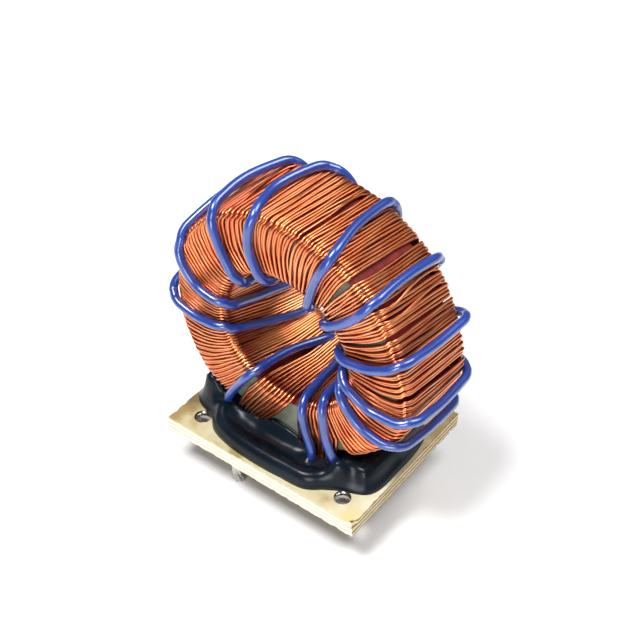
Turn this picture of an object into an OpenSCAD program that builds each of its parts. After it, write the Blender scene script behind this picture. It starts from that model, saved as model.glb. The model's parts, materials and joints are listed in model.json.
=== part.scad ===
// Toroidal inductor on a small base board.
// A coated powder-core ring stands upright on an FR-4 board. A ribbon of thin enamelled wires
// covers it in one layer, a thicker insulated wire is wound over the ribbon, and black potting
// holds the foot of the ring. Z is up, Y is the ring's axis, Z = 0 is the board's underside.

/* [Core] */
// Outer diameter of the coated ring
core_od = 24; // [23:0.1:25]
// Inner diameter of the coated ring
core_id = 14.2; // [13.6:0.1:14.8]
// Width of the ring along its axis
core_w = 7.9; // [7:0.1:8.6]
// Edge radius of the coated ring
core_edge = 0.8; // [0.6:0.05:1]

/* [Ribbon winding] */
// Wires that lie side by side in the ribbon
strands = 18; // [14:1:18]
// Turns of the ribbon round the ring
ribbon_turns = 13; // [12:1:13]
// Diameter of one enamelled wire
strand_d = 0.24; // [0.2:0.01:0.25]
// Clearance between the wires and the coated ring
strand_gap = 0.03; // [0.02:0.01:0.05]
// How much every other wire rides up on the outside of the ring
outer_lift = 0.15; // [0.12:0.01:0.2]
// How much every other wire rides up in the bore
bore_lift = 0.3; // [0.27:0.01:0.34]
// Angle between neighbouring wires
strand_pitch = 1.4; // [1.38:0.01:1.44]
// Angle from one ribbon turn to the next
ribbon_pitch = 26.2; // [26:0.1:26.4]
// Angle of the first wire, beside the gap at the foot
ribbon_start = -80; // [-82:1:-78]
// How far the ribbon stands off the ring where it is slackest, low on its right
ribbon_slack = 0.75; // [0:0.05:0.8]
// How far the ribbon stands off the ring's back face at its outer edge
back_slack = 0.45; // [0.3:0.05:0.5]

/* [Insulated winding] */
// Outer diameter of the insulated wire
cable_d = 0.85; // [0.7:0.05:0.9]
// Bend radius of the insulated wire at its centre
cable_bend = 1.6; // [1.3:0.1:1.7]
// Clearance between the insulated wire and the ribbon
cable_gap = 0.1; // [0.08:0.01:0.3]
// Diameter over the tinned conductor
tail_d = 0.6; // [0.5:0.05:0.7]

/* [Base board] */
// Length of the board
board_l = 21.4; // [20.5:0.1:24]
// Width of the board
board_w = 17; // [16.4:0.1:19]
// Thickness of the board
board_t = 1.6; // [1.2:0.1:2]
// Distance between corner holes along the board
hole_span_x = 16.3; // [16:0.1:17.5]
// Distance between corner holes across the board
hole_span_y = 12.9; // [12.7:0.1:13.5]
// Diameter of the corner holes
corner_hole_d = 1.6; // [1.4:0.1:1.8]
// Clearance between the board and the lowest wire
stand_off = 0.04; // [0.04:0.01:0.3]

/* [Leads] */
// Diameter of a twisted and tinned ribbon lead
lead_d = 1.4; // [1.2:0.05:1.4]
// Length of the leads below the board
lead_len = 3.8; // [2:0.1:5]
// Ribbon lead's distance from the board's middle, along the board
lead_x = 3.8; // [3:0.1:4.5]
// Ribbon lead's distance from the board's middle, across the board
lead_y = 6.6; // [6.5:0.05:6.7]
// Clearance round a lead in its hole, on the diameter
lead_clear = 0.2; // [0.1:0.05:0.3]
// Insulated lead's distance from the board's middle, along the board
tail_x = 3.75; // [3.6:0.05:4]
// Insulated lead's distance from the board's middle, across the board
tail_y = 5.3; // [5.25:0.05:5.4]

/* [Potting] */
// Length of the potting at the board
potting_l = 20.8; // [20:0.1:21]
// Width of the potting at the board
potting_w = 16.4; // [16:0.1:16.6]
// Height of the rounded rim of the potting
rim_h = 1.7; // [1.6:0.05:2]
// Height that the potting climbs on the ring's faces
face_climb = 0.8; // [0.4:0.05:1.2]
// Height that the potting climbs under the ring's left end
left_climb = 2.6; // [1.5:0.1:2.8]
// Height that the potting climbs under the ring's right end
right_climb = 0.9; // [0.6:0.1:1.6]
// Clearance between the potting and what it surrounds
potting_gap = 0.05; // [0.03:0.01:0.1]

/* [Hidden] */
STRAND_NAMES = [for (j = [1:strands]) str("copper_strand_", j < 10 ? "0" : "", j)];

core_r = core_od / 2;
bore_r = core_id / 2;
wound_r = core_r + strand_gap + strand_d + outer_lift;
ring_z = board_t + stand_off + wound_r;
// Half width of the ring over the ribbon, at its outer edge and at its bore
wound_half = core_w / 2 + strand_gap + strand_d + outer_lift;
bore_half = core_w / 2 + strand_gap + strand_d + bore_lift;
strand_bend = core_edge + strand_gap + strand_d / 2;
// A bend is this much thicker than the straights, which end inside it
bend_swell = 0.03;
bend_lap = 0.03;
fine = 48;
round_fn = 24;
// How far a cut runs past the faces that it goes through
through = 1;

// How the wires drift along the ring: over the outside, over the front face, and through the bore
outer_drift = 6;
face_drift = 4;
function bore_drift(a) = 12 + 10 * sin(a - 95);

// The insulated wire's angles round the ring, one row a turn: outside at the back, middle and
// front, front face, bore at the front, middle and back
CABLE_TURNS = [
    [-64, -61, -58, -57, -46, -49, -54], [-28, -24, -24, -28, -16, -12, -10],
    [-10, -9, -7, -11, -1, 5, 9], [16, 17, 19, 16, 20, 23, 27], [41, 45, 45, 43, 46, 49, 52],
    [67, 70, 67, 67, 63, 62, 66], [97, 106, 103, 108, 105, 108, 114],
    [115, 122, 124, 131, 134, 142, 150], [134, 140, 153, 167, 169, 186, 196],
    [171, 177, 183, 190, 194, 213, 229], [228, 233, 238, 236, 238, 245, 262]];
// How far each turn stands off the ribbon: outside at the back, middle and front
CABLE_LIFTS = [
    [0, 0.1, 0], [0.6, 0.5, 0], [0, 0.2, 0], [0.4, 0.25, 0], [0, 0.15, 0], [0.2, 0.2, 0.1],
    [0.2, 0.3, 0], [0.3, 1, 0.5], [0.1, 0.4, 0.5], [0, 0.2, 0.1], [0, 0.15, 0.1]];
// How far each turn bows off the bore at its middle
cable_bow = 0.2;
// The first turn has only its front face and its bore at the front, middle and back
cable_start = [-74, -71, -75, -77];

function unit(v) = v / norm(v);
function on_ring(r, a, y) = [r * cos(a), y, ring_z + r * sin(a)];
// How far the ribbon stands off the ring's outside at an angle
slack_middle = -13;
slack_half = 33;
function slack(a) = let (away = abs(a - slack_middle) / slack_half)
    away < 1 ? ribbon_slack * pow(cos(90 * away), 2) : 0;
// How far it stands off the ring's back face, which is nothing at the foot
function back_off(a) = back_slack * min(1, 2 + 2 * sin(a));
function turning(u, v) = acos(max(-1, min(1, u * v)));
function across(u) = unit(cross(abs(u[2]) < 0.9 ? [0, 0, 1] : [1, 0, 0], u));

// Puts children at p, with their axes along the unit vectors x, y and z
module at_axes(p, x, y, z) {
    multmatrix([
        [x[0], y[0], z[0], p[0]],
        [x[1], y[1], z[1], p[1]],
        [x[2], y[2], z[2], p[2]],
        [0, 0, 0, 1]])
        children();
}

// A round wire through the points, bent to one radius at each inner point
module wire(points, d, bend) {
    last = len(points) - 1;
    legs = [for (i = [0:last - 1]) unit(points[i + 1] - points[i])];
    turns = [for (i = [0:last]) i == 0 || i == last ? 0 : turning(legs[i - 1], legs[i])];
    cuts = [for (t = turns) bend * tan(t / 2)];
    for (i = [0:last - 1]) {
        u = legs[i];
        x = across(u);
        lap_in = i == 0 ? 0 : bend_lap;
        lap_out = i == last - 1 ? 0 : bend_lap;
        length = norm(points[i + 1] - points[i]) - cuts[i] - cuts[i + 1];
        at_axes(points[i] + u * (cuts[i] - lap_in), x, cross(u, x), u)
            cylinder(h = length + lap_in + lap_out, d = d, $fn = round_fn);
    }
    for (i = [1:last - 1]) {
        u = legs[i - 1];
        w = unit(legs[i] - u * cos(turns[i]));
        at_axes(points[i] - u * cuts[i] + w * bend, -w, u, cross(u, w))
            rotate_extrude(angle = turns[i], $fn = fine)
                translate([bend, 0]) circle(d = d + bend_swell, $fn = round_fn);
    }
}

// Section of a ring with rounded edges, as points from the axis outwards
function ring_section(r1, r2, half, edge, steps = 6) = [
    for (c = [[r2 - edge, half - edge, 0], [r1 + edge, half - edge, 90],
        [r1 + edge, edge - half, 180], [r2 - edge, edge - half, 270]])
        for (i = [0:steps]) let (a = c[2] + 90 * i / steps)
            [c[0] + edge * cos(a), c[1] + edge * sin(a)]];

module ring(r1, r2, half, edge) {
    translate([0, 0, ring_z]) rotate([90, 0, 0])
        rotate_extrude($fn = 144) polygon(ring_section(r1, r2, half, edge));
}

module core() {
    color("#707868") ring(bore_r, core_r, core_w / 2, core_edge);
}

// ---- Ribbon winding ----

// Wire j of the ribbon, from its foot at the front to its foot at the back
function strand_path(j) =
    let (
        up = j % 2,
        r_out = core_r + strand_gap + strand_d / 2 + up * outer_lift,
        r_in = bore_r - strand_gap - strand_d / 2 - up * bore_lift,
        y_out = core_w / 2 + strand_gap + strand_d / 2 + up * outer_lift,
        y_in = core_w / 2 + strand_gap + strand_d / 2 + up * bore_lift,
        first = front_angle(j)
    ) [
        [front_foot_x(j), -y_out, foot_z],
        on_ring(front_foot_r, first, -y_out),
        for (k = [0:ribbon_turns - 1]) let (a = first + k * ribbon_pitch) each [
            if (k > 0) let (b = a - outer_drift) on_ring(r_out + slack(b), b, y_out + back_off(b)),
            if (k > 0) on_ring(r_out + slack(a), a, -y_out),
            on_ring(r_in, a + face_drift, -y_in),
            on_ring(r_in, a + face_drift + bore_drift(a), y_in)],
        [back_foot_x(j), y_out, foot_z]];

// The feet of the ribbon end inside the potting. At the front the wires leave the ring's face and
// go straight down, and at the back they run straight on.
foot_rise = 0.5;
foot_inset = 1.4;
foot_z = board_t + foot_rise;
front_foot_r = core_r - foot_inset;
function front_angle(j) = ribbon_start + j * strand_pitch;
function back_angle(j) = let (a = front_angle(j) + (ribbon_turns - 1) * ribbon_pitch)
    a + face_drift + bore_drift(a);
function front_foot_x(j) = front_foot_r * cos(front_angle(j));
function back_foot_x(j) = (foot_z - ring_z) / tan(back_angle(j));

module copper_strand(j) {
    color("#e08050") wire(strand_path(j), strand_d, strand_bend);
}

// ---- Insulated winding ----

cable_r_out = wound_r + cable_gap + cable_d / 2;
cable_r_in = bore_r - strand_gap - strand_d - bore_lift - cable_gap - cable_d / 2;
cable_r_face = (cable_r_out + cable_r_in) / 2;
cable_y_out = wound_half + cable_gap + cable_d / 2;
cable_y_in = bore_half + cable_gap + cable_d / 2;
// Where the jacket ends in its board hole, and where it starts to run up the ring's face
jacket_end_z = board_t * 0.75;
front_jacket_rise = board_t + 1.9;
back_jacket_rise = board_t + 2.4;
tail_lean = 0.1;

function cable_outside(a, lift, y) = on_ring(cable_r_out + slack(a) + lift, a, y);
function tail_foot(s, z) = [s * tail_x, -s * tail_y, z];
cable_path = [
    tail_foot(1, jacket_end_z),
    [tail_x - tail_lean, -cable_y_in, front_jacket_rise],
    on_ring(cable_r_face, cable_start[0], -cable_y_in),
    on_ring(cable_r_in, cable_start[1], -cable_y_in),
    on_ring(cable_r_in - cable_bow, cable_start[2], 0),
    on_ring(cable_r_in, cable_start[3], cable_y_in),
    for (n = [0:len(CABLE_TURNS) - 1]) let (t = CABLE_TURNS[n], lift = CABLE_LIFTS[n]) each [
        cable_outside(t[0], lift[0], cable_y_out + back_slack),
        cable_outside(t[1], lift[1], 0),
        cable_outside(t[2], lift[2], -cable_y_out),
        on_ring(cable_r_face, t[3], -cable_y_in),
        on_ring(cable_r_in, t[4], -cable_y_in),
        on_ring(cable_r_in - cable_bow, t[5], 0),
        on_ring(cable_r_in, t[6], cable_y_in)],
    [tail_lean - tail_x, cable_y_in, back_jacket_rise],
    tail_foot(-1, jacket_end_z)];

module insulated_wire() {
    color("#2038a8") wire(cable_path, cable_d, cable_bend);
}

// ---- Leads ----

// A tinned bundle: round wires on a circle round a solid heart, straight down
module tinned_bundle(d, wires, wire_d, top) {
    ring_r = (d - wire_d) / 2;
    for (i = [0:wires - 1]) rotate(i * 360 / wires) translate([ring_r, 0, -lead_len])
        cylinder(h = lead_len + top, d = wire_d, $fn = round_fn);
}

lead_wires = 11;
lead_bend = 1;
lead_rise = 0.1;
lead_run_z = board_t + lead_d / 2 + lead_rise;
// The heart of the lead, which the outer wires stand proud of below the board
lead_heart_d = lead_d - 0.1;
lead_wire_d = lead_d * 0.23;
lead_heart_step = 0.2;
lead_run_end = 5.2;
lead_path = [[lead_run_end, -lead_y, lead_run_z], [-lead_x, -lead_y, lead_run_z],
    [-lead_x, -lead_y, lead_heart_step - lead_len]];

module ribbon_lead() {
    color("#b8b4ac") {
        wire(lead_path, lead_heart_d, lead_bend);
        translate([-lead_x, -lead_y, 0])
            tinned_bundle(lead_d, lead_wires, lead_wire_d, board_t / 2);
    }
}

module ribbon_lead_front() {
    ribbon_lead();
}

module ribbon_lead_back() {
    rotate(180) ribbon_lead();
}

tail_wires = 6;
tail_wire_d = tail_d * 0.36;
tail_heart_d = tail_d * 0.5;
// The tail starts just below the end of the jacket
tail_clear = 0.05;
tail_top = jacket_end_z - tail_clear;
// The middle of the tail stops this far from the ends of its outer wires
tail_step = 0.1;
module wire_tail(s) {
    color("#c8c8c4") translate([s * tail_x, -s * tail_y, 0]) {
        tinned_bundle(tail_d, tail_wires, tail_wire_d, tail_top - tail_step);
        translate([0, 0, tail_step - lead_len])
            cylinder(h = lead_len + tail_top - tail_step, d = tail_heart_d, $fn = round_fn);
    }
}

module wire_tail_front() {
    wire_tail(1);
}

module wire_tail_back() {
    wire_tail(-1);
}

// ---- Base board ----

module hole(x, y, d) {
    translate([x, y, -through]) cylinder(h = board_t + 2 * through, d = d, $fn = fine);
}

module board() {
    color("#e0d8a8") difference() {
        translate([-board_l / 2, -board_w / 2, 0]) cube([board_l, board_w, board_t]);
        for (x = [-1, 1], y = [-1, 1]) hole(x * hole_span_x / 2, y * hole_span_y / 2, corner_hole_d);
        for (s = [-1, 1]) {
            hole(s * lead_x, s * lead_y, lead_d + lead_clear);
            hole(s * tail_x, -s * tail_y, cable_d + lead_clear);
        }
    }
}

// ---- Potting ----

// The potting's outline is a rounded rectangle, and its height follows from how far a point is
// from the rim, from the ring's face and from the ring's end
outline_power = 2.6;
potting_rings = [0, 0.02, 0.05, 0.09, 0.14, 0.2, 0.27, 0.35, 0.44, 0.6];
potting_steps = 72;
rim_width = 1.2;
climb_width = 1.5;
// The potting climbs higher on the ring's left than on its right, by this share a millimetre
lean_rate = 0.12;
// Where the climb at the ring's ends starts to fall away, along the board and across it
end_x = 0.75 * core_r;
end_y = 0.8 * wound_half;
// Height of the gap under the lowest wires, and the potting's greatest height
slot_h = 0.45;
potting_top = rim_h + left_climb + face_climb;
// Half width of the room for the wound ring, which is wider at the back by the ribbon's slack
cut_half = bore_half + potting_gap + back_slack / 2;
// How much wider than a corner hole the potting is kept away
hole_rim = 0.4;
function fade(t) = pow(1 - max(0, min(1, t)), 2);
function outline_r(a) = 1 / pow(pow(abs(cos(a)) * 2 / potting_l, outline_power)
    + pow(abs(sin(a)) * 2 / potting_w, outline_power), 1 / outline_power);
function potting_h(x, y, d) =
    let (
        rise = min(1, d / rim_width),
        rim = rim_h * sqrt(1 - pow(1 - rise, 2)),
        lean = 1 + lean_rate * x * sign(y),
        face = face_climb * lean * fade((abs(y) - wound_half) / climb_width),
        end = (x < 0 ? left_climb : right_climb) * fade((abs(x) - end_x) / climb_width)
            * fade((abs(y) - end_y) / climb_width)
    ) rim + rise * max(0, face, end);
function potting_point(s, a) = let (r = outline_r(a) * (1 - s), x = r * cos(a), y = r * sin(a))
    [x, y, board_t + potting_h(x, y, outline_r(a) * s)];

module potting_mound() {
    n = potting_steps;
    rows = len(potting_rings);
    points = concat(
        [for (s = potting_rings) for (i = [0:n - 1]) potting_point(s, i * 360 / n)],
        [potting_point(1, 0)]);
    sides = [for (k = [0:rows - 2]) for (i = [0:n - 1]) let (j = (i + 1) % n) each [
        [k * n + i, k * n + n + i, k * n + j],
        [k * n + j, k * n + n + i, k * n + n + j]]];
    top = [for (i = [0:n - 1]) [(rows - 1) * n + i, rows * n, (rows - 1) * n + (i + 1) % n]];
    polyhedron(points = points, faces = concat(sides, top, [[for (i = [0:n - 1]) i]]));
}

// The stretches of the insulated wire that run through the potting, by their first and last
// points, counted back from the end of the wire where they are below zero
LOW_STRETCHES = [[0, 3], [5, 10], [-10, -5], [-3, -1]];
function stretch(path, s) = let (shift = s[0] < 0 ? len(path) : 0)
    [for (i = [s[0]:s[1]]) path[i + shift]];

module potting() {
    slot_l = 0.4 * core_r;
    color("#16202a") difference() {
        potting_mound();
        translate([0, back_slack / 2, 0])
            ring(bore_r - through, wound_r + potting_gap, cut_half, core_edge);
        translate([-slot_l / 2, -wound_half, board_t - through])
            cube([slot_l, 2 * wound_half, through + slot_h]);
        foot_slot(front_foot_x(0), front_foot_x(strands - 1), -bore_half - potting_gap);
        foot_slot(back_foot_x(0), back_foot_x(strands - 1), core_w / 2 - potting_gap);
        for (x = [-1, 1], y = [-1, 1])
            hole_clearance(x * hole_span_x / 2, y * hole_span_y / 2, corner_hole_d);
        for (s = LOW_STRETCHES) wire(stretch(cable_path, s), cable_d + 2 * potting_gap, cable_bend);
        for (s = [0, 180]) rotate(s) wire(lead_path, lead_heart_d + 2 * potting_gap, lead_bend);
    }
}

// Room for a row of the ribbon's feet beside the ring's face
module foot_slot(first_x, last_x, y) {
    translate([first_x - strand_d, y, foot_z - 2 * potting_gap])
        cube([last_x - first_x + 2 * strand_d, bore_half - core_w / 2 + 2 * potting_gap, potting_top]);
}

// The potting stays clear of the corner holes
module hole_clearance(x, y, d) {
    translate([x, y, board_t - through]) cylinder(h = through + potting_top, d = d + hole_rim, $fn = fine);
}

core();
board();
potting();
insulated_wire();
ribbon_lead_front();
ribbon_lead_back();
wire_tail_front();
wire_tail_back();
for (j = [0:strands - 1])
    copper_strand(j);
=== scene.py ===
import json
import math
import random

import bmesh
import bpy
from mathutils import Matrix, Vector

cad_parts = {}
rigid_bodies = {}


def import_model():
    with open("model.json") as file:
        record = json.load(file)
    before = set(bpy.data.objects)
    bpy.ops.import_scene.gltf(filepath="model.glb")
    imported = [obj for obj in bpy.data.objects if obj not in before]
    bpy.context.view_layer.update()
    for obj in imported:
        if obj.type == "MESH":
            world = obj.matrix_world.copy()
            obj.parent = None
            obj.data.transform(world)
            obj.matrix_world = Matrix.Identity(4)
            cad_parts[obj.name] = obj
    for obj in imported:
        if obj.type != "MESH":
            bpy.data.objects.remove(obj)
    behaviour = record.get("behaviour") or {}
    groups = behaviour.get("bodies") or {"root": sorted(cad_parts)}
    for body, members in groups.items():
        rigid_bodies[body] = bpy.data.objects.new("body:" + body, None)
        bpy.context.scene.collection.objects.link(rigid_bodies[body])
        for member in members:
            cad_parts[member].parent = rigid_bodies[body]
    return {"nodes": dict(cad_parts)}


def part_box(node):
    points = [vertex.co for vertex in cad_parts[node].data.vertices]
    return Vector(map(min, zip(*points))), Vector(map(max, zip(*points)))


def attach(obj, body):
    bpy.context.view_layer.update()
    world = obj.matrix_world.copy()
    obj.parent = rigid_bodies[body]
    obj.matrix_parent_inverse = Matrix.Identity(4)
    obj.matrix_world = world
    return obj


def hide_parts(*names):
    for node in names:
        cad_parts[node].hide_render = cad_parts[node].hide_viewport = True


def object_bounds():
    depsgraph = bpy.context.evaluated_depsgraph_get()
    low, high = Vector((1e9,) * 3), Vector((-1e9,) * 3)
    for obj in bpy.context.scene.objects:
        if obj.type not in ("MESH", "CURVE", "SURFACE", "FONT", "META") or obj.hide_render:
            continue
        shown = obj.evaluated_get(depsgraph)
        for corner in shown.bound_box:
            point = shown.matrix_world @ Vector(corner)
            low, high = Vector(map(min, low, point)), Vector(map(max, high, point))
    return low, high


for leftover in list(bpy.data.objects):
    bpy.data.objects.remove(leftover)
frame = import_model()
cad_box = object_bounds()
scene = bpy.context.scene
scene.view_settings.view_transform = "Standard"
MM = 0.001


# ---- Camera, floor and lamps ----
# The part stands on a pale table under soft studio light, and the camera looks down on it
# from its right front.

camera_data = bpy.data.cameras.new("camera")
camera_data.lens = 73.47
camera_data.sensor_width = 36
camera_data.shift_x = 0.0102
camera_data.shift_y = 0.0004
camera_data.clip_start = 0.005
camera = bpy.data.objects.new("camera", camera_data)
scene.collection.objects.link(camera)
camera.location = Vector((51.86, -67.99, 90.34)) * MM
camera_aim = Vector((0, 0, 13.6)) * MM
camera.rotation_euler = (camera_aim - camera.location).to_track_quat("-Z", "Y").to_euler()
scene.camera = camera

world = bpy.data.worlds.new("studio")
scene.world = world
world.use_nodes = True
world.node_tree.nodes["Background"].inputs["Color"].default_value = (1, 1, 1, 1)
world.node_tree.nodes["Background"].inputs["Strength"].default_value = 0.16

FLOOR_HALF = 1.2
floor_bm = bmesh.new()
bmesh.ops.create_grid(floor_bm, x_segments=1, y_segments=1, size=FLOOR_HALF)
bmesh.ops.translate(floor_bm, verts=floor_bm.verts, vec=(0, 0, cad_box[0][2]))
floor_mesh = bpy.data.meshes.new("floor")
floor_bm.to_mesh(floor_mesh)
floor_bm.free()
floor = bpy.data.objects.new("floor", floor_mesh)
scene.collection.objects.link(floor)
white_table = bpy.data.materials.new("white_table")
white_table.use_nodes = True
floor_shader = white_table.node_tree.nodes["Principled BSDF"]
floor_shader.inputs["Base Color"].default_value = (0.9, 0.9, 0.9, 1)
floor_shader.inputs["Roughness"].default_value = 0.9
floor_mesh.materials.append(white_table)

# Name, place, diameter and watts of each round lamp; all are aimed at the camera's own aim
LAMPS = [
    ("key_lamp", (-0.05, -0.11, 0.30), 0.11, 1.0),
    ("fill_lamp", (0.12, -0.26, 0.10), 0.12, 0.35),
    ("back_lamp", (0.10, 0.10, 0.30), 0.18, 0.7),
]
for lamp_name, lamp_at, lamp_size, lamp_power in LAMPS:
    lamp_data = bpy.data.lights.new(lamp_name, "AREA")
    lamp_data.shape = "DISK"
    lamp_data.size = lamp_size
    lamp_data.energy = lamp_power
    lamp = bpy.data.objects.new(lamp_name, lamp_data)
    scene.collection.objects.link(lamp)
    lamp.location = lamp_at
    lamp.rotation_euler = (camera_aim - lamp.location).to_track_quat("-Z", "Y").to_euler()


# ---- Core ----
# A pressed iron-powder ring with a sprayed epoxy coat: grey-green on its flat faces, dark red
# round its outside and through its bore. It shows in the gaps of the winding.

core_low, core_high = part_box("core")
RING_Z = (core_low.z + core_high.z) / 2
CORE_R = (core_high.x - core_low.x) / 2
CORE_HALF = (core_high.y - core_low.y) / 2
BORE_R = 7.1 * MM
# The grey-green coat starts where a flat face ends in its rounded edge
RED_TO = 3.8 * MM
GREY_FROM = 3.9 * MM


def noise(tree, coords, scale, detail=4.0, rough=0.5):
    node = tree.nodes.new("ShaderNodeTexNoise")
    node.inputs["Scale"].default_value = scale
    node.inputs["Detail"].default_value = detail
    node.inputs["Roughness"].default_value = rough
    tree.links.new(coords, node.inputs["Vector"])
    return node.outputs["Fac"]


def ramp(tree, value, stops):
    node = tree.nodes.new("ShaderNodeValToRGB")
    while len(node.color_ramp.elements) < len(stops):
        node.color_ramp.elements.new(0.5)
    for element, (place, colour) in zip(node.color_ramp.elements, stops):
        element.position = place
        element.color = (*colour, 1)
    tree.links.new(value, node.inputs["Fac"])
    return node.outputs["Color"]


def map_range(tree, value, from_low, from_high, to_low=0.0, to_high=1.0):
    node = tree.nodes.new("ShaderNodeMapRange")
    node.inputs["From Min"].default_value = from_low
    node.inputs["From Max"].default_value = from_high
    node.inputs["To Min"].default_value = to_low
    node.inputs["To Max"].default_value = to_high
    tree.links.new(value, node.inputs["Value"])
    return node.outputs[0]


def mix(tree, share, ground, cover):
    """The ground colour with the cover, a colour or a socket, laid over it by the share."""
    node = tree.nodes.new("ShaderNodeMix")
    node.data_type = "RGBA"
    tree.links.new(share, node.inputs["Factor"])
    tree.links.new(ground, node.inputs["A"])
    if isinstance(cover, tuple):
        node.inputs["B"].default_value = (*cover, 1)
    else:
        tree.links.new(cover, node.inputs["B"])
    return node.outputs["Result"]


def absolute(tree, value):
    node = tree.nodes.new("ShaderNodeMath")
    node.operation = "ABSOLUTE"
    tree.links.new(value, node.inputs[0])
    return node.outputs[0]


def bump(tree, height, strength, distance):
    node = tree.nodes.new("ShaderNodeBump")
    node.inputs["Strength"].default_value = strength
    node.inputs["Distance"].default_value = distance
    tree.links.new(height, node.inputs["Height"])
    return node.outputs["Normal"]


def new_material(name):
    material = bpy.data.materials.new(name)
    material.use_nodes = True
    tree = material.node_tree
    shader = tree.nodes["Principled BSDF"]
    coords = tree.nodes.new("ShaderNodeTexCoord").outputs["Object"]
    return material, tree, shader, coords


def paint(obj, material):
    obj.data.materials.clear()
    obj.data.materials.append(material)


core_coat, tree, shader, coords = new_material("core_coat")
axes = tree.nodes.new("ShaderNodeSeparateXYZ")
tree.links.new(coords, axes.inputs[0])
on_face = map_range(tree, absolute(tree, axes.outputs["Y"]), RED_TO, GREY_FROM)
red = ramp(tree, noise(tree, coords, 900), [(0.3, (0.12, 0.008, 0.010)), (0.7, (0.24, 0.022, 0.022))])
grey = ramp(tree, noise(tree, coords, 700), [(0.3, (0.13, 0.15, 0.11)), (0.7, (0.22, 0.24, 0.18))])
tree.links.new(mix(tree, on_face, red, grey), shader.inputs["Base Color"])
tree.links.new(bump(tree, noise(tree, coords, 2500), 0.3, 0.00005), shader.inputs["Normal"])
shader.inputs["Roughness"].default_value = 0.55
shader.inputs["Specular IOR Level"].default_value = 0.25
paint(frame["nodes"]["core"], core_coat)


# ---- Ribbon winding ----
# Eighteen thin enamelled copper wires, laid side by side and wound as one ribbon in thirteen
# turns. They are pulled tight over the ring's front edge, part here and there on the outside,
# and pile up two deep in the bore.

STRANDS = 18
TURNS = 13
STRAND_R = 0.148 * MM
STRAND_GAP = 0.02 * MM
# The angle of each turn's first wire on the ring's front edge, in degrees; the last turn's is
# in LAST_TURN below
TURN_STARTS = [-80, -52.2, -24.4, 3.6, 31, 57.6, 83.4, 109, 134.4, 159.8, 185, 210.2, 236.4]
# How many degrees a wire leans back from the front edge to the back edge
BACK_LEAN = 5
# Pitch of neighbouring wires, in degrees: a little wider low on the right
WIDE_TURNS = 4
WIDE_PITCH = 1.48
PITCH = 1.4
# Every other wire rides on its neighbours: outside, outside on the last turn, and in the bore
OUTER_LIFT = 0.07
LAST_OUTER_LIFT = 0.21
BORE_LIFT = 0.25
# The wires' feet end inside the potting, at this height. The first turn starts this far inside
# the ring's edge on the front face, and the last stops at this share of its way over the back face
FOOT_Z = 2.1 * MM
FOOT_INSET = 1.4 * MM
LAST_STOP = 0.6
# Bend radii at the ring's edges: outside front, bore front, bore back, outside back
STRAND_BENDS = (0.95 * MM, 0.95 * MM, 0.95 * MM, 0.6 * MM)

# The share of turns that were laid late, and how high they ride over their neighbours, in mm
LATE_SHARE = 0.05
LATE_HEIGHT = 0.2
# How much a wire waves along the ring, alone and with its neighbours, in degrees, and how much
# it rises and falls, in mm
SWAY = 0.2
SHARED_SWAY = 0.35
RISE_AND_FALL = 0.025
# Points of a path on each straight and round each bend
STRAIGHT_STEPS = 8
CORNER_STEPS = 6

# How far the wires stray along the ring, in degrees, at places named by their angle on the
# ring's front edge: at the middle of the front face, at the bore's front edge, and through the bore
STRAY = [
    (-100, 0, 3, -6), (-73, -1, 5, -4), (-59, 0, 6, -6), (-24, -4, 3, -3), (-6, -4, 2, 3),
    (19, -3, 0, 5), (46, -1, -1, 8), (66, 1, -2, 11), (101, 5, 2, 14), (124, 8, 6, 18),
    (153, 10, 11, 24), (182, 8, 8, 26), (232, 2, 3, 17), (262, 0, 0, 14)]

# The last turn is drawn together: the angle of its first and last wire on the front edge, the
# middle of the front face, and the bore's front, middle and back
LAST_TURN = [(243, 255), (243, 263), (245, 275.5), (252, 277), (263, 281)]
# How far it has leant when it reaches the outside again, at the back
LAST_LEAN = 26


def smooth(t):
    """A soft step from nothing at 0 to one at 1."""
    t = max(0.0, min(1.0, t))
    return t * t * (3 - 2 * t)


def soft_step(value, start, length):
    """A soft step from nothing at the start to one this far beyond it."""
    return smooth((value - start) / length)


def between(table, x, column=1):
    """A smooth value from rows that are sorted by their first number."""
    if x <= table[0][0]:
        return table[0][column]
    for low, high in zip(table, table[1:]):
        if x <= high[0]:
            share = smooth((x - low[0]) / (high[0] - low[0]))
            return low[column] + (high[column] - low[column]) * share
    return table[-1][column]


# Where both windings stand off the ring: middle and half width round it in degrees, height in mm
LOOSE_RIGHT = (-13, 33, 0.75)
PILE_LOW_LEFT = (205, 45, 0.3)
# How far they stand off the back face, in mm, and how far behind the ring's middle all of it
# is reached
OFF_BACK = 0.45
OFF_BACK_FROM = 3 * MM
# Start and length of soft steps in mm: the outside and the flat faces by the distance from the
# ring's axis, and the pile by the distance behind the ring's middle
OUTSIDE = (10.5, 1.3)
FLAT_FACE = (8.5, 2.5)
PILE_BEHIND = (1.5, 2.5)
# Where the ribbon alone bulges on the outside, and stands off its front crease, and the soft
# step of that in front of the ring's middle
BULGES = [(142, 42, 0.4), (208, 34, 0.35), (110, 32, 0.22)]
LOOSE_CREASE = (226, 26, 0.3)
CREASE_BEFORE = (2, 2)
# The ribbon's own pile at the back of the bore: how far it stands out towards the axis and the
# back, in mm, its soft step behind the ring's middle, and where it starts and ends round the
# ring, with the length of each step, in degrees
PILE_IN = 0.62
PILE_BACK = 1.5
RIBBON_PILE_BEHIND = (1, 2.5)
PILE_STARTS = (165, 30)
PILE_ENDS = (288, 25)


def hump(angle, middle, half, height):
    """This high at the middle, falling to nothing this many degrees to each side of it."""
    away = abs((angle - middle + 180) % 360 - 180) / half
    return height * math.cos(math.pi / 2 * away) ** 2 if away < 1 else 0


def outside_share(radius):
    """Nothing on the flat faces' inner part, one at the ring's outside."""
    return soft_step(radius / MM, *OUTSIDE)


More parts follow.
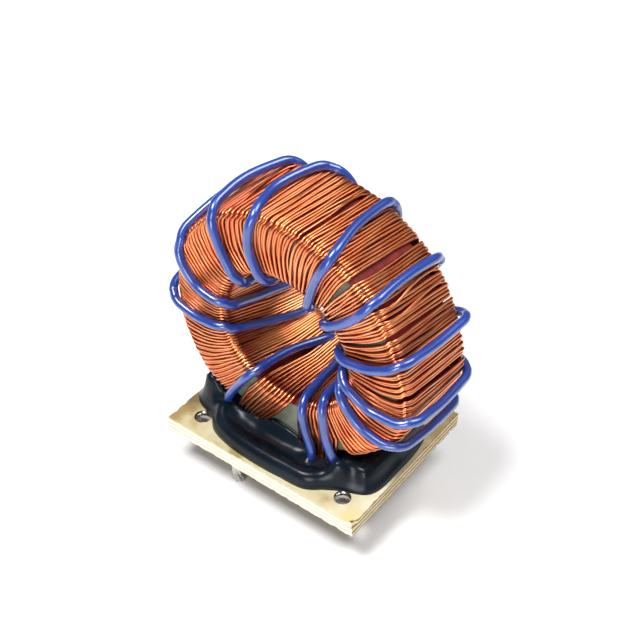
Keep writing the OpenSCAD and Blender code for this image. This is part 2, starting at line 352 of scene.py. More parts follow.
def face_share(radius):
    """Nothing in the bore, one on the outer half of the flat faces and outside."""
    return soft_step(radius / MM, *FLAT_FACE)


def loosened(radius, angle, y):
    """Where a turn really runs: the winding is loose low on the right, and stands off the back."""
    outside = outside_share(radius)
    on_face = face_share(radius)
    radius += outside * hump(angle, *LOOSE_RIGHT) * MM
    if y > 0:
        # Less low down, where the potting holds the turns, and less near the ring's middle
        off_back = min(1, 2 + 2 * math.sin(math.radians(angle))) * min(1, y / OFF_BACK_FROM)
        y += OFF_BACK * off_back * on_face * MM
        pile = hump(angle, *PILE_LOW_LEFT) * (1 - on_face) * soft_step(y / MM, *PILE_BEHIND)
        radius -= pile * MM
        y += pile * MM
    return radius, y


def ribbon_place(radius, angle, y):
    """The ribbon also bulges on the left, and piles up where it leaves the bore low down."""
    outside = outside_share(radius)
    on_face = face_share(radius)
    radius, y = loosened(radius, angle, y)
    bulge = sum(hump(angle, *place) for place in BULGES)
    if y > 0:
        low = soft_step(angle, *PILE_STARTS) * smooth((PILE_ENDS[0] - angle) / PILE_ENDS[1])
        pile = low * (1 - on_face) * soft_step(y / MM, *RIBBON_PILE_BEHIND)
        radius -= PILE_IN * pile * MM
        y += PILE_BACK * pile * MM
    else:
        y -= hump(angle, *LOOSE_CREASE) * on_face * soft_step(-y / MM, *CREASE_BEFORE) * MM
    return radius + bulge * outside * MM, y


# Places on the outside where the wires part: angle, middle along Y in mm, half length in mm,
# half opening in degrees, and how far the crowding reaches in degrees
PARTINGS = [
    (56.1, -1.2, 3.9, 1.0, 3.0), (29.9, -1.8, 3.4, 0.4, 2.0), (89.8, -1.3, 2.3, 0.3, 1.6),
    (81.5, -2.2, 2.4, 0.3, 1.6), (72.6, 0.5, 3.2, 0.35, 1.8), (63.8, 0.8, 2.6, 0.25, 1.5),
    (0.5, -0.5, 3.0, 0.35, 1.8), (-12.0, -1.0, 2.8, 0.3, 1.6)]
# Small ones lie all the way round
SMALL_PARTINGS = 46
SMALL_FIRST = -44
SMALL_STEP = 6.1
parting_dice = random.Random(5)
for n in range(SMALL_PARTINGS):
    PARTINGS.append((
        SMALL_FIRST + SMALL_STEP * n + parting_dice.uniform(-1.6, 1.6), parting_dice.uniform(-2.4, 2.2),
        parting_dice.uniform(1.4, 3), parting_dice.uniform(0.06, 0.24), parting_dice.uniform(1, 1.6)))


def parting(angle, y):
    """How far a wire at this place is pushed along the ring, in degrees."""
    push = 0.0
    for middle, y_mid, y_half, opening, reach in PARTINGS:
        along = 1 - ((y / MM - y_mid) / y_half) ** 2
        away = angle - middle
        if along > 0 and abs(away) < 4 * reach:
            push += math.copysign(opening * along * math.exp(-abs(away) / reach), away)
    return push


class Wander:
    """A gentle wave along a wire, the same each run for the same seed."""

    def __init__(self, seed, waves=5):
        dice = random.Random(seed)
        self.waves = [(dice.uniform(0.6, 1) / (k + 1) ** 0.5, dice.uniform(0.4, 0.9) * (k + 1),
                       dice.uniform(0, math.tau)) for k in range(waves)]

    def at(self, s):
        return sum(size * math.sin(math.tau * pace * s + start) for size, pace, start in self.waves) / 2


def section_points(r_out, r_in, y_out, y_in, bends, straight_steps, corner_steps):
    """One turn round the ring's section as (side, share of the side, radius, y): forward along
    the outside (0), in over the front face (1), back through the bore (2), out over the back
    face (3) and round the last corner (4)."""
    corners = [(r_out, y_out), (r_out, -y_out), (r_in, -y_in), (r_in, y_in)]
    rows = []
    for side in range(4):
        a = Vector(corners[side])
        b = Vector(corners[(side + 1) % 4])
        c = Vector(corners[(side + 2) % 4])
        along = (b - a).normalized()
        onward = (c - b).normalized()
        length = (b - a).length
        bend_before = bends[(side + 3) % 4] / length
        bend = bends[side]
        for i in range(straight_steps):
            t = bend_before + (1 - bend_before - bend / length) * (i + 0.5) / straight_steps
            p = a.lerp(b, t)
            rows.append((side, t, p.x, p.y))
        centre = b - along * bend + onward * bend
        for i in range(corner_steps + 1):
            turn = math.pi / 2 * i / corner_steps
            p = centre - onward * bend * math.cos(turn) + along * bend * math.sin(turn)
            if i <= corner_steps / 2:
                rows.append((side, (p - a).dot(along) / length, p.x, p.y))
            else:
                rows.append((side + 1, (p - b).dot(onward) / (c - b).length, p.x, p.y))
    return rows


def ring_point(radius, angle, y):
    """The place at this distance and angle round the ring's axis, and this far along it."""
    a = math.radians(angle)
    return Vector((radius * math.cos(a), y, RING_Z + radius * math.sin(a)))


def tube(name, points, radius, roundness, material):
    """A round wire along the points, as a mesh with flat closed ends."""
    curve = bpy.data.curves.new(name, "CURVE")
    curve.dimensions = "3D"
    curve.bevel_depth = radius
    curve.bevel_resolution = roundness
    curve.use_fill_caps = True
    spline = curve.splines.new("POLY")
    spline.points.add(len(points) - 1)
    for point, co in zip(spline.points, points):
        point.co = (*co, 1)
    curve_object = bpy.data.objects.new(name + "_curve", curve)
    scene.collection.objects.link(curve_object)
    mesh = bpy.data.meshes.new_from_object(curve_object.evaluated_get(
        bpy.context.evaluated_depsgraph_get()))
    bpy.data.objects.remove(curve_object)
    mesh.name = name
    for polygon in mesh.polygons:
        polygon.use_smooth = len(polygon.vertices) == 4
    piece = bpy.data.objects.new(name, mesh)
    scene.collection.objects.link(piece)
    paint(piece, material)
    return piece


def vector_math(tree, operation, *vectors):
    """The result of the operation on fixed vectors or sockets."""
    node = tree.nodes.new("ShaderNodeVectorMath")
    node.operation = operation
    for socket, vector in zip(node.inputs, vectors):
        if isinstance(vector, tuple):
            socket.default_value = vector
        else:
            tree.links.new(vector, socket)
    return node.outputs["Value" if operation in ("DOT_PRODUCT", "DISTANCE") else "Vector"]


enamel, tree, shader, coords = new_material("copper_enamel")
copper_tone = ramp(tree, noise(tree, coords, 420, 3), [
    (0.25, (0.80, 0.18, 0.05)), (0.5, (0.90, 0.29, 0.095)), (0.8, (0.96, 0.43, 0.18))])
# Painted shade: each wire is coloured dark red where it faces its neighbours round the ring, as crevice
# shade
from_axis = vector_math(tree, "SUBTRACT", coords, (0, 0, RING_Z))
round_ring = vector_math(tree, "NORMALIZE", vector_math(tree, "CROSS_PRODUCT", (0, 1, 0), from_axis))
wire_surface = tree.nodes.new("ShaderNodeNewGeometry")
sideways = vector_math(tree, "DOT_PRODUCT", round_ring, wire_surface.outputs["Normal"])
painted_crevice_shade = map_range(tree, absolute(tree, sideways), 0.35, 0.92, 0, 0.85)
painted_crevice_shade.node.interpolation_type = "SMOOTHSTEP"
# Painted shade: the dark red mixed in here darkens each wire's sides as shade between the wires
tree.links.new(mix(tree, painted_crevice_shade, copper_tone, (0.40, 0.035, 0.008)), shader.inputs["Base Color"])
shader.inputs["Metallic"].default_value = 1
shader.inputs["Roughness"].default_value = 0.28
shader.inputs["Coat Weight"].default_value = 0.6
shader.inputs["Coat Roughness"].default_value = 0.2


def front_angle(j, k):
    """The angle of wire j on the ring's front edge, on its turn k."""
    return TURN_STARTS[k] + (WIDE_PITCH if k < WIDE_TURNS else PITCH) * j


def turn_angles(j, k):
    """Angles of turn k of wire j: outside at the back and front, middle of the front face,
    bore at the front, middle and back, and outside at the back again."""
    crease = front_angle(j, k)
    back = crease - BACK_LEAN
    if k == TURNS - 1:
        share = j / (STRANDS - 1)
        low = [first + (last - first) * share for first, last in LAST_TURN]
        return [(low[0] + back) / 2, *low, back + LAST_LEAN]
    bore_front = crease + between(STRAY, crease, 2)
    through = between(STRAY, crease, 3)
    face = crease + between(STRAY, crease, 1)
    following = front_angle(j, k + 1) - BACK_LEAN
    if k == TURNS - 2:
        last = LAST_TURN[0][0] + (LAST_TURN[0][1] - LAST_TURN[0][0]) * j / (STRANDS - 1)
        following = (last + following) / 2
    return [back, crease, face, bore_front, bore_front + through / 2, bore_front + through, following]


def bent(start, middle, end, t):
    """From start to end, by way of the middle."""
    bow = math.sin(math.pi * max(0, min(1, t)))
    return start + (end - start) * t + (middle - (start + end) / 2) * bow


def strand_points(j):
    """The path of wire j from its foot, by all its turns, to its other foot."""
    dice = random.Random(100 + j)
    sideways = Wander(200 + j)
    shared = Wander(77, 9)
    lifting = Wander(300 + j)
    on_top = j % 2
    r_out = CORE_R + STRAND_GAP + STRAND_R
    y_flat = CORE_HALF + STRAND_GAP + STRAND_R
    r_in = BORE_R - STRAND_GAP - STRAND_R
    points = []
    for k in range(TURNS):
        last = k == TURNS - 1
        outer_lift = on_top * (LAST_OUTER_LIFT if last else OUTER_LIFT) * MM
        outer_lift += dice.uniform(0, 0.05) * MM
        bore_lift = on_top * BORE_LIFT * MM + dice.uniform(0, 0.04) * MM
        # Here and there a wire was laid late and rides over its neighbours on the outside
        rides = dice.random() < LATE_SHARE and 1 < k < TURNS - 2
        ride_slant = dice.choice((-1, 1)) * dice.uniform(0.8, 1.6)
        rows = section_points(r_out + outer_lift, r_in - bore_lift, y_flat + outer_lift,
                              y_flat + bore_lift, STRAND_BENDS, STRAIGHT_STEPS, CORNER_STEPS)
        back, crease, face, bore_front, bore_middle, bore_back, following = turn_angles(j, k)
        for side, t, radius, y in rows:
            if side in (0, 4):
                start, end = (following, following + BACK_LEAN) if side == 4 else (back, crease)
                angle = start + (end - start) * t
                angle += parting(end, y)
                if rides and side == 0:
                    over = math.sin(math.pi * max(0, min(1, t)))
                    angle += ride_slant * math.sin(math.tau * max(0, min(1, t)))
                    radius += LATE_HEIGHT * over * MM
            elif side == 1:
                angle = bent(crease, face, bore_front, t)
                angle += parting(crease, y) * max(0, 1 - 1.6 * t)
            elif side == 2:
                angle = bent(bore_front, bore_middle, bore_back, t)
            else:
                angle = bore_back + (following - bore_back) * t
            s = k + (side + t) / 4
            angle += SWAY * sideways.at(s * 2) + SHARED_SWAY * shared.at(s * 1.7 + j * 0.06)
            radius += (RISE_AND_FALL * MM * lifting.at(s * 2)) * (-1 if side == 2 else 1)
            # The first turn starts low on the front face, and the last ends low on the back face
            if k == 0 and (side == 0 or (side == 1 and radius > CORE_R - FOOT_INSET)):
                continue
            if last and (side == 4 or (side == 3 and t > LAST_STOP)):
                continue
            radius, y = ribbon_place(radius, angle, y)
            points.append(ring_point(radius, angle, y))
    start = points[0]
    points.insert(0, Vector((start.x, start.y, FOOT_Z)))
    end = points[-1]
    outward = (end - Vector((0, end.y, RING_Z))).normalized()
    reach = (FOOT_Z - end.z) / outward.z
    points.append(end + outward * reach)
    return points


for j in range(STRANDS):
    node = f"copper_strand_{j + 1:02d}"
    strand = tube(f"enamelled_wire_{j + 1:02d}", strand_points(j), STRAND_R, 2, enamel)
    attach(strand, "root")
    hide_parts(node)


# ---- Insulated winding ----
# One thicker wire with a smooth blue jacket, wound over the ribbon by hand. It is stiffer than
# the copper, so it rounds the edges softly and stands a little off them.

CABLE_R = 0.425 * MM
# Angles of each turn, in degrees: outside at the back, middle and front, front face, bore at the
# front, middle and back
CABLE_TURNS = [
    (-64, -62, -61, -58, -46, -49, -54), (-28, -24, -23, -27, -16, -12, -10),
    (-10, -9, -7, -11, -1, 5, 9), (16, 17, 19, 16, 20, 23, 27), (41, 45, 45, 43, 46, 49, 52),
    (68.5, 70, 67, 67, 63, 62, 67), (97, 106, 103, 108, 105, 108, 114),
    (115, 122, 124, 129, 133, 142, 150), (134, 140, 153, 167, 169, 186, 196),
    (171, 177, 183, 190, 194, 213, 229), (228, 233, 238, 237, 238, 245, 262)]
# How far each turn stands off the ribbon, in mm: outside at the back, middle and front
CABLE_LIFTS = [
    (0, 0.1, 0.25), (0.6, 0.5, 0), (0, 0.2, 0), (0.4, 0.25, 0), (0, 0.15, 0), (0, 0.2, 0.1),
    (0.1, 0.2, 0), (0.15, 0.85, 0.4), (0.1, 0.3, 0.15), (0, 0.2, 0.1), (0, 0.15, 0.1)]
# The first turn has only its front face and its bore at the front, middle and back
CABLE_START = (-70.5, -72, -69.5, -74, -77)


def smooth_along(values, t):
    """A smooth value between values that stand one apart."""
    i = max(0, min(int(t), len(values) - 2))
    u = t - i
    p1, p2 = values[i], values[i + 1]
    p0 = values[i - 1] if i > 0 else p1
    p3 = values[i + 2] if i + 2 < len(values) else p2
    return 0.5 * (2 * p1 + (p2 - p0) * u + (2 * p0 - 5 * p1 + 4 * p2 - p3) * u * u
                  + (3 * p1 - p0 - 3 * p2 + p3) * u ** 3)


# The ribbon's depth under it: outside, in the bore, and on the flat faces at their outer and
# inner edges
UNDER_OUTSIDE = 0.55 * MM
UNDER_IN_BORE = 0.72 * MM
UNDER_OUTER_EDGE = 0.46 * MM
UNDER_INNER_EDGE = 0.6 * MM
CABLE_BEND = 1.7 * MM
CABLE_STRAIGHT_STEPS = 9
CABLE_CORNER_STEPS = 12
cable_section = section_points(
    CORE_R + UNDER_OUTSIDE + CABLE_R, BORE_R - UNDER_IN_BORE - CABLE_R,
    CORE_HALF + UNDER_OUTER_EDGE + CABLE_R, CORE_HALF + UNDER_INNER_EDGE + CABLE_R,
    [CABLE_BEND] * 4, CABLE_STRAIGHT_STEPS, CABLE_CORNER_STEPS)
# It starts and ends on the flat faces, at these radii
CABLE_START_R = 10.6 * MM
CABLE_END_R = 8.4 * MM


def cable_points():
    """The path of the insulated wire over all its turns."""
    # Eight stations a turn, the last of them on the back face; the first turn starts on the front
    stations = [CABLE_START[0]] * 3 + list(CABLE_START[1:])
    lifts = [0.0] * 7
    for row, row_lifts in zip(CABLE_TURNS, CABLE_LIFTS):
        stations += [(stations[-1] + row[0]) / 2, *row]
        lifts += [0.0, *row_lifts, 0.0, 0.0, 0.0, 0.0]
    stations += [stations[-1] + 1] * 2
    lifts += [0.0, 0.0]
    points = []
    for k in range(len(CABLE_TURNS) + 1):
        last = k == len(CABLE_TURNS)
        for side, t, radius, y in cable_section:
            place = 8 * k + (side + t) * 2
            if k == 0 and (side == 0 or (side == 1 and radius > CABLE_START_R)):
                continue
            if last and side >= 3 and radius > CABLE_END_R:
                continue
            angle = smooth_along(stations, place)
            radius += smooth_along(lifts, place) * MM
            radius, y = loosened(radius, angle, y)
            points.append(ring_point(radius, angle, y))
    return points


jacket, tree, shader, coords = new_material("blue_jacket")
blue_tone = ramp(tree, noise(tree, coords, 350, 3), [
    (0.3, (0.006, 0.033, 0.24)), (0.7, (0.009, 0.048, 0.33))])
tree.links.new(blue_tone, shader.inputs["Base Color"])
shader.inputs["Roughness"].default_value = 0.3
shader.inputs["Specular IOR Level"].default_value = 1
shader.inputs["Specular Tint"].default_value = (0.7, 0.85, 1, 1)
shader.inputs["Coat Weight"].default_value = 1
shader.inputs["Coat Roughness"].default_value = 0.24

# Both ends run down through the potting into their holes in the board
cable_in = [Vector(place) * MM for place in ((3.75, -5.3, 1.2), (3.6, -5.05, 3.6))]
cable_out = [Vector(place) * MM for place in ((-2.6, 5.35, 5.6), (-3.6, 5.25, 3.2), (-3.75, 5.3, 1.2))]
cable = tube("blue_wire", cable_in + cable_points() + cable_out, CABLE_R, 5, jacket)
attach(cable, "root")
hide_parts("insulated_wire")


# ---- Base board ----
# A small plate sawn from woven glass-epoxy sheet. Its edges are rough, with the glass layers
# showing, and its front corner is chipped. A hole is drilled near each corner.

board_low, board_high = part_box("board")
BOARD_TOP = board_high.z
HOLE_SPAN = (16.3 * MM, 12.9 * MM)
HOLE_R = 0.8 * MM
# Place and radius of the holes for one end of each winding, in mm; the other end's lie opposite
LEAD_HOLES = [(3.8, 6.6, 0.8), (-3.75, 5.3, 0.525)]
# The saw leaves steps of this size, and bites this deep at a side's middle and at its edges
SAW_STEP = 0.28 * MM
SAW_BITE = 0.025 * MM
EDGE_BITE = 0.12 * MM
CHIP_REACH = 0.9 * MM
CHIP_DEPTH = 0.6
# A brown stain of soldering flux by the left end of the potting, and how far from its middle
# the stain and the yellow at the chipped corner end and are full
FLUX_STAIN = (-10.3 * MM, -5 * MM, BOARD_TOP)
STAIN_REACH = (1.7 * MM, 0.5 * MM)
YELLOW_REACH = (2.6 * MM, 0.4 * MM)

board_bm = bmesh.new()
bmesh.ops.create_cube(board_bm, size=1)
bmesh.ops.scale(board_bm, verts=board_bm.verts, vec=board_high - board_low)
bmesh.ops.translate(board_bm, verts=board_bm.verts, vec=(board_high + board_low) / 2)
for axis in range(3):
    length = board_high[axis] - board_low[axis]
    cuts = round(length / SAW_STEP)
    for i in range(1, cuts):
        place = Vector((0, 0, 0))
        place[axis] = board_low[axis] + length * i / cuts
        normal = Vector((0, 0, 0))
        normal[axis] = 1
        # Level cuts go round the sides only
        faces = [f for f in board_bm.faces if axis < 2 or abs(f.normal.z) < 0.5]
        edges = list({e for f in faces for e in f.edges})
        verts = list({v for f in faces for v in f.verts})
        bmesh.ops.bisect_plane(board_bm, geom=faces + edges + verts, plane_co=place, plane_no=normal)
saw_dice = random.Random(11)
chipped_corner = Vector((board_high.x, board_low.y, board_high.z))
touch = 1e-6
for v in board_bm.verts:
    on_end = abs(v.co.x) > board_high.x - touch
    on_long_side = abs(v.co.y) > board_high.y - touch
    if not on_end and not on_long_side:
        continue
    bite = saw_dice.random() ** 2 * SAW_BITE
    if v.co.z > board_high.z - touch or v.co.z < board_low.z + touch:
        bite += saw_dice.random() ** 5 * EDGE_BITE
    if on_end:
        v.co.x -= math.copysign(bite, v.co.x)
    if on_long_side:
        v.co.y -= math.copysign(bite, v.co.y)
    chip = (v.co - chipped_corner).length
    if chip < CHIP_REACH:
        inward = (Vector((0, 0, v.co.z)) - v.co).normalized()
        v.co += inward * (CHIP_REACH - chip) * CHIP_DEPTH
board_mesh = bpy.data.meshes.new("base_board")
board_bm.to_mesh(board_mesh)
board_bm.free()
board_piece = bpy.data.objects.new("base_board", board_mesh)
scene.collection.objects.link(board_piece)

DRILL_DEPTH = 6 * MM
HOLE_SIDES = 40
drill_bm = bmesh.new()
holes = [(sx * HOLE_SPAN[0] / 2, sy * HOLE_SPAN[1] / 2, HOLE_R) for sx in (-1, 1) for sy in (-1, 1)]
holes += [(end * x * MM, end * y * MM, r * MM) for x, y, r in LEAD_HOLES for end in (-1, 1)]
for x, y, r in holes:
    drill = bmesh.ops.create_cone(
        drill_bm, cap_ends=True, segments=HOLE_SIDES, radius1=r, radius2=r, depth=DRILL_DEPTH)
    bmesh.ops.translate(drill_bm, verts=drill["verts"], vec=(x, y, BOARD_TOP))
drill_mesh = bpy.data.meshes.new("drills")
drill_bm.to_mesh(drill_mesh)
drill_bm.free()
drills = bpy.data.objects.new("drills", drill_mesh)
scene.collection.objects.link(drills)
drilled = board_piece.modifiers.new("drilled", "BOOLEAN")
drilled.operation = "DIFFERENCE"
drilled.solver = "EXACT"
drilled.object = drills
board_piece.data = bpy.data.meshes.new_from_object(
    board_piece.evaluated_get(bpy.context.evaluated_depsgraph_get()))
board_piece.modifiers.clear()
bpy.data.objects.remove(drills)
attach(board_piece, "root")
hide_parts("board")

board_resin, tree, shader, coords = new_material("glass_epoxy")
board_tone = ramp(tree, noise(tree, coords, 260, 4), [
    (0.36, (0.40, 0.30, 0.12)), (0.47, (0.64, 0.57, 0.33)), (0.62, (0.74, 0.70, 0.51))])
from_corner = vector_math(tree, "DISTANCE", coords, tuple(chipped_corner))
near_corner = map_range(tree, from_corner, *YELLOW_REACH, 0, 0.8)
from_stain = vector_math(tree, "DISTANCE", coords, FLUX_STAIN)
near_stain = map_range(tree, from_stain, *STAIN_REACH, 0, 0.75)
yellowed = mix(tree, near_corner, board_tone, (0.74, 0.54, 0.14))
stained = mix(tree, near_stain, yellowed, (0.16, 0.11, 0.05))
layers = tree.nodes.new("ShaderNodeTexWave")
layers.wave_type = "BANDS"
layers.bands_direction = "Z"
layers.inputs["Scale"].default_value = 620
layers.inputs["Distortion"].default_value = 1.4
layers.inputs["Detail"].default_value = 4
layers.inputs["Detail Scale"].default_value = 3
tree.links.new(coords, layers.inputs["Vector"])
brown_layers = ramp(tree, layers.outputs["Fac"], [
    (0.2, (0.20, 0.13, 0.06)), (0.5, (0.44, 0.33, 0.16)), (0.85, (0.68, 0.56, 0.31))])
# Painted light: pale layers for the long front side, standing in for the light falling on it
lit_side_layers = ramp(tree, layers.outputs["Fac"], [
    (0.06, (0.66, 0.52, 0.22)), (0.2, (0.86, 0.82, 0.64)), (0.85, (0.90, 0.88, 0.76))])
board_surface = tree.nodes.new("ShaderNodeNewGeometry")
facing = tree.nodes.new("ShaderNodeSeparateXYZ")
tree.links.new(board_surface.outputs["Normal"], facing.inputs[0])
# Painted light: the long side at the front is coloured pale, as if bright in the light; the other sawn
# sides are brown
lit_front_side_mask = map_range(tree, facing.outputs["Y"], -0.5, -0.8)
sawn_side = map_range(tree, facing.outputs["Z"], 0.75, 0.45)
layer_tone = mix(tree, lit_front_side_mask, brown_layers, lit_side_layers)
tree.links.new(mix(tree, sawn_side, stained, layer_tone), shader.inputs["Base Color"])
tree.links.new(bump(tree, noise(tree, coords, 2600, 2), 0.35, 0.00006), shader.inputs["Normal"])
shader.inputs["Roughness"].default_value = 0.5
paint(board_piece, board_resin)

# The drilled walls are dark with old solder and dirt
hole_wall, tree, shader, coords = new_material("hole_wall")
shader.inputs["Base Color"].default_value = (0.42, 0.40, 0.36, 1)
shader.inputs["Metallic"].default_value = 1
shader.inputs["Roughness"].default_value = 0.22
board_piece.data.materials.append(hole_wall)
for polygon in board_piece.data.polygons:
    for x, y, r in holes:
        in_hole = math.hypot(polygon.center.x - x, polygon.center.y - y) < r + 0.02 * MM
        if in_hole and abs(polygon.normal.z) < 0.5:
            polygon.material_index = 1
            polygon.use_smooth = True


# ---- Potting ----
# Blue-black epoxy poured round the foot of the ring and left to set. It has a fat rounded rim,
# dips a little behind it, and climbs the winding, most of all at the left end.

# The potting's edge on the board, in mm, from the left end round by the front
POTTING_EDGE = [
    (-10.55, -2.4), (-10.5, -4.4), (-9.85, -5.15), (-9.0, -5.55), (-8.0, -5.65), (-7.15, -6.1),
    (-6.9, -6.75), (-6.0, -7.3), (-4.1, -7.78), (-2.1, -8.0), (0, -8.05), (2.3, -7.95), (4.2, -7.9),
    (5.1, -7.8), (5.65, -7.2), (6.5, -6.6), (7.3, -6.1), (8.2, -5.6), (9.3, -5.35), (10.05, -4.8),
    (10.35, -3.4), (10.3, -1.0), (10.35, 1.2), (10.1, 3.4), (9.6, 4.9), (8.6, 5.55), (7.4, 5.9),
    (6.6, 6.9), (4.4, 7.8), (1.8, 8.1), (-1.5, 8.0), (-4.3, 7.9), (-6.2, 7.1), (-7.1, 6.1),
    (-8.6, 5.5), (-9.9, 4.8), (-10.4, 3.0), (-10.55, 0.2)]
edge_by_angle = sorted((math.atan2(y, x) % math.tau, math.hypot(x, y)) for x, y in POTTING_EDGE)
edge_by_angle = [(edge_by_angle[-1][0] - math.tau, edge_by_angle[-1][1])] + edge_by_angle + [
    (edge_by_angle[0][0] + math.tau, edge_by_angle[0][1])]


def edge_reach(angle):
    """Distance of the edge from the middle, softened over a few degrees."""
    total = 0.0
    steps = range(-3, 4)
    for step in steps:
        near = (angle + math.radians(1.5) * step) % math.tau
        for low, high in zip(edge_by_angle, edge_by_angle[1:]):
            if low[0] <= near <= high[0]:
                total += low[1] + (high[1] - low[1]) * (near - low[0]) / (high[0] - low[0])
                break
    return total / len(steps)


# How high the potting climbs the winding, in mm above the board, along the front and the back
FRONT_CLIMB = [
    (-10.6, 0.5), (-10.2, 1.0), (-9.6, 2.3), (-9.1, 3.5), (-8.4, 3.2), (-7.0, 2.1), (-5.0, 1.4),
    (-3.0, 1.5), (-1.4, 2.2), (0.2, 2.2), (1.6, 1.9), (3.2, 0.9), (5.0, 0.8), (6.3, 1.5), (7.5, 1.9),
    (9.0, 1.9), (10.3, 0.7)]
BACK_CLIMB = [
    (-10.6, 0.5), (-9.3, 2.6), (-7.0, 1.7), (-3.5, 0.9), (0.0, 1.9), (4.0, 1.6), (7.0, 1.8),
    (9.1, 2.3), (10.3, 0.7)]

# Lumps in the pour: x, y, radius and height in mm
LUMPS = [
    (7.2, -4.9, 1.0, 0.7), (6.4, -5.1, 0.8, 0.8), (3.5, -5.3, 0.6, 0.5),
    (9.0, -3.2, 1.6, 0.3), (9.3, 0.5, 1.8, 0.3), (-6.6, -5.4, 0.8, 0.4),
    (-5.4, -5.2, 0.7, 0.25), (-8.4, -4.9, 0.7, 0.5), (-2.6, -5.6, 0.9, -0.1),
    (-1.0, 6.6, 1.8, 0.25), (5.2, 6.3, 1.4, 0.3), (-3.7, 5.5, 0.8, 0.6), (-5.6, 6.2, 1.4, 0.3)]
# The bead along the rim, in mm: its width and height, how much of that is gone at the two ends,
# and where the fall starts and how long it is
BEAD_WIDTH = 0.9
BEAD_HEIGHT = 1.45
BEAD_FALL = 0.9
FALL_FROM = 6.2
FALL_LENGTH = 2.6
# The part of the bead's height that the dip behind it takes away, and the dip's width
DIP_SHARE = 0.42
DIP_WIDTH = 1.4
# In mm: half the width over the wound ring, how far from it the climb reaches, the radius that
# the pour clears where it runs under the ring, and how thin it gets there
WIRE_FACE = 4.4
CLIMB_REACH = 0.5
RING_UNDER_R = CORE_R / MM + 0.3
THINNEST = 0.05


def potting_height(x, y, inside):
    """Height above the board, in mm, at a place that lies this far inside the edge."""
    rise = max(0, min(1, inside / BEAD_WIDTH))
    bead = BEAD_HEIGHT - BEAD_FALL * soft_step(abs(x), FALL_FROM, FALL_LENGTH)
    dip = DIP_SHARE * bead * soft_step(inside, BEAD_WIDTH, DIP_WIDTH)
    height = bead * math.sqrt(1 - (1 - rise) ** 2) - dip
    climb = between(FRONT_CLIMB if y < 0 else BACK_CLIMB, x)
    beside = max(0, abs(y) - WIRE_FACE)
    height += rise * max(0, climb - height) * math.exp(-(beside / CLIMB_REACH) ** 1.3)
    for lump_x, lump_y, lump_r, lump_h in LUMPS:
        height += rise * lump_h * math.exp(-((x - lump_x) ** 2 + (y - lump_y) ** 2) / lump_r ** 2)
    if abs(y) < WIRE_FACE - 0.1 and abs(x) < RING_UNDER_R:
        under = (RING_Z - BOARD_TOP) / MM - math.sqrt(RING_UNDER_R ** 2 - x * x)
        height = min(height, max(THINNEST, under))
    return max(0, height)


# A disc of rings, close together at the rim, is closed below and then raised to the height
POTTING_STEPS = 200
RIM_SHARES = [0.004, 0.012, 0.024, 0.04, 0.06, 0.085, 0.11]
EVEN_RINGS = 38
ring_shares = RIM_SHARES + [
    RIM_SHARES[-1] + (1 - RIM_SHARES[-1]) * i / EVEN_RINGS for i in range(1, EVEN_RINGS)]
pour_bm = bmesh.new()
bmesh.ops.create_circle(pour_bm, cap_ends=False, segments=POTTING_STEPS, radius=1)
loop_edges = pour_bm.edges[:]
for share in ring_shares:
    grown = bmesh.ops.extrude_edge_only(pour_bm, edges=loop_edges)["geom"]
    loop_edges = [g for g in grown if isinstance(g, bmesh.types.BMEdge)]
    for v in grown:
        if isinstance(v, bmesh.types.BMVert):
            v.co *= (1 - share) / v.co.length
bmesh.ops.contextual_create(pour_bm, geom=loop_edges)
bmesh.ops.contextual_create(pour_bm, geom=[e for e in pour_bm.edges if e.is_boundary])
for v in pour_bm.verts:
    share = v.co.length
    angle = math.atan2(v.co.y, v.co.x)
    reach = edge_reach(angle)
    x, y = reach * share * math.cos(angle), reach * share * math.sin(angle)
    lift = potting_height(x, y, reach * (1 - share))
    v.co = Vector((x * MM, y * MM, BOARD_TOP + lift * MM))
bmesh.ops.recalc_face_normals(pour_bm, faces=pour_bm.faces)
pour_mesh = bpy.data.meshes.new("black_potting")
pour_bm.to_mesh(pour_mesh)
pour_bm.free()
for polygon in pour_mesh.polygons:
    polygon.use_smooth = len(polygon.vertices) == 4
pour = bpy.data.objects.new("black_potting", pour_mesh)
scene.collection.objects.link(pour)
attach(pour, "root")
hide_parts("potting")

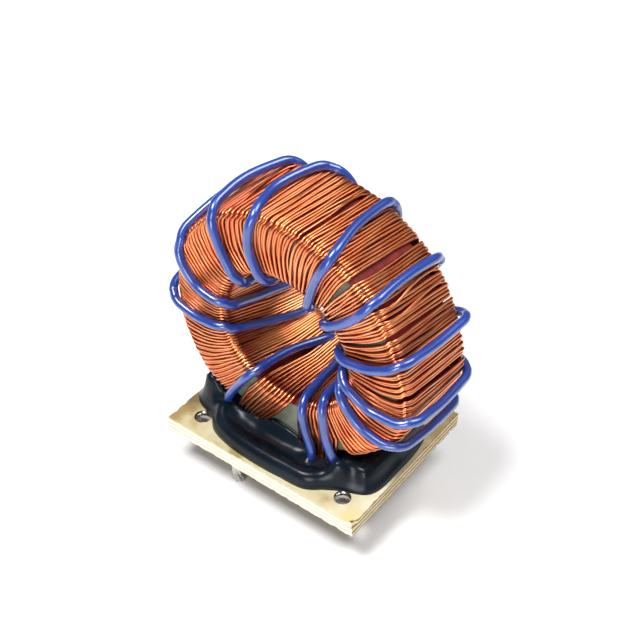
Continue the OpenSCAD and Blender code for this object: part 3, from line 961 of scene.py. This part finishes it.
black_epoxy, tree, shader, coords = new_material("black_epoxy")
pour_tone = ramp(tree, noise(tree, coords, 260, 4), [
    (0.35, (0.002, 0.005, 0.009)), (0.75, (0.006, 0.013, 0.022))])
tree.links.new(pour_tone, shader.inputs["Base Color"])
pour_rough = map_range(tree, noise(tree, coords, 320, 3), 0, 1, 0.2, 0.34)
tree.links.new(pour_rough, shader.inputs["Roughness"])
shader.inputs["Specular IOR Level"].default_value = 0.22
tree.links.new(bump(tree, noise(tree, coords, 380, 2), 0.12, 0.0002), shader.inputs["Normal"])
paint(pour, black_epoxy)


# ---- Leads ----
# The ends of both windings, dipped in solder, where they stick out below the board. The
# ribbon's wires are twisted together there, and each of them still shows.

LEAD_WIRES = 9
LEAD_WIRE_R = 0.19 * MM
LEAD_TURNS = 0.55
LEAD_STEPS = 24
# They start above the board, inside the potting, and their lower ends clear the table
LEAD_TOP = BOARD_TOP + 0.3 * MM
END_CLEAR = 0.06 * MM
# The wires sink this far into the one in their middle
LEAD_SINK = 0.05 * MM
solder, tree, shader, coords = new_material("solder")
solder_tone = ramp(tree, noise(tree, coords, 900, 3), [
    (0.35, (0.30, 0.29, 0.26)), (0.65, (0.66, 0.65, 0.62))])
tree.links.new(solder_tone, shader.inputs["Base Color"])
shader.inputs["Metallic"].default_value = 1
shader.inputs["Roughness"].default_value = 0.32

for name, side in (("ribbon_lead_front", -1), ("ribbon_lead_back", 1)):
    lead_low, lead_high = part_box(name)
    lead_x, lead_y = side * LEAD_HOLES[0][0] * MM, side * LEAD_HOLES[0][1] * MM
    wires_at = (lead_high.y - lead_low.y) / 2 - LEAD_WIRE_R
    drop = lead_low.z + END_CLEAR - LEAD_TOP
    for wire in range(LEAD_WIRES + 1):
        in_middle = wire == LEAD_WIRES
        off = 0 if in_middle else wires_at
        path = []
        for i in range(LEAD_STEPS + 1):
            down = i / LEAD_STEPS
            turn = math.tau * (wire / LEAD_WIRES + LEAD_TURNS * down)
            path.append(Vector((
                lead_x + off * math.cos(turn), lead_y + off * math.sin(turn), LEAD_TOP + drop * down)))
        thick = wires_at - LEAD_SINK if in_middle else LEAD_WIRE_R
        lead = tube(f"{name}_{wire + 1:02d}", path, thick, 2, solder)
        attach(lead, "root")
        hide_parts(name)
for name in ("wire_tail_front", "wire_tail_back"):
    paint(frame["nodes"][name], solder)
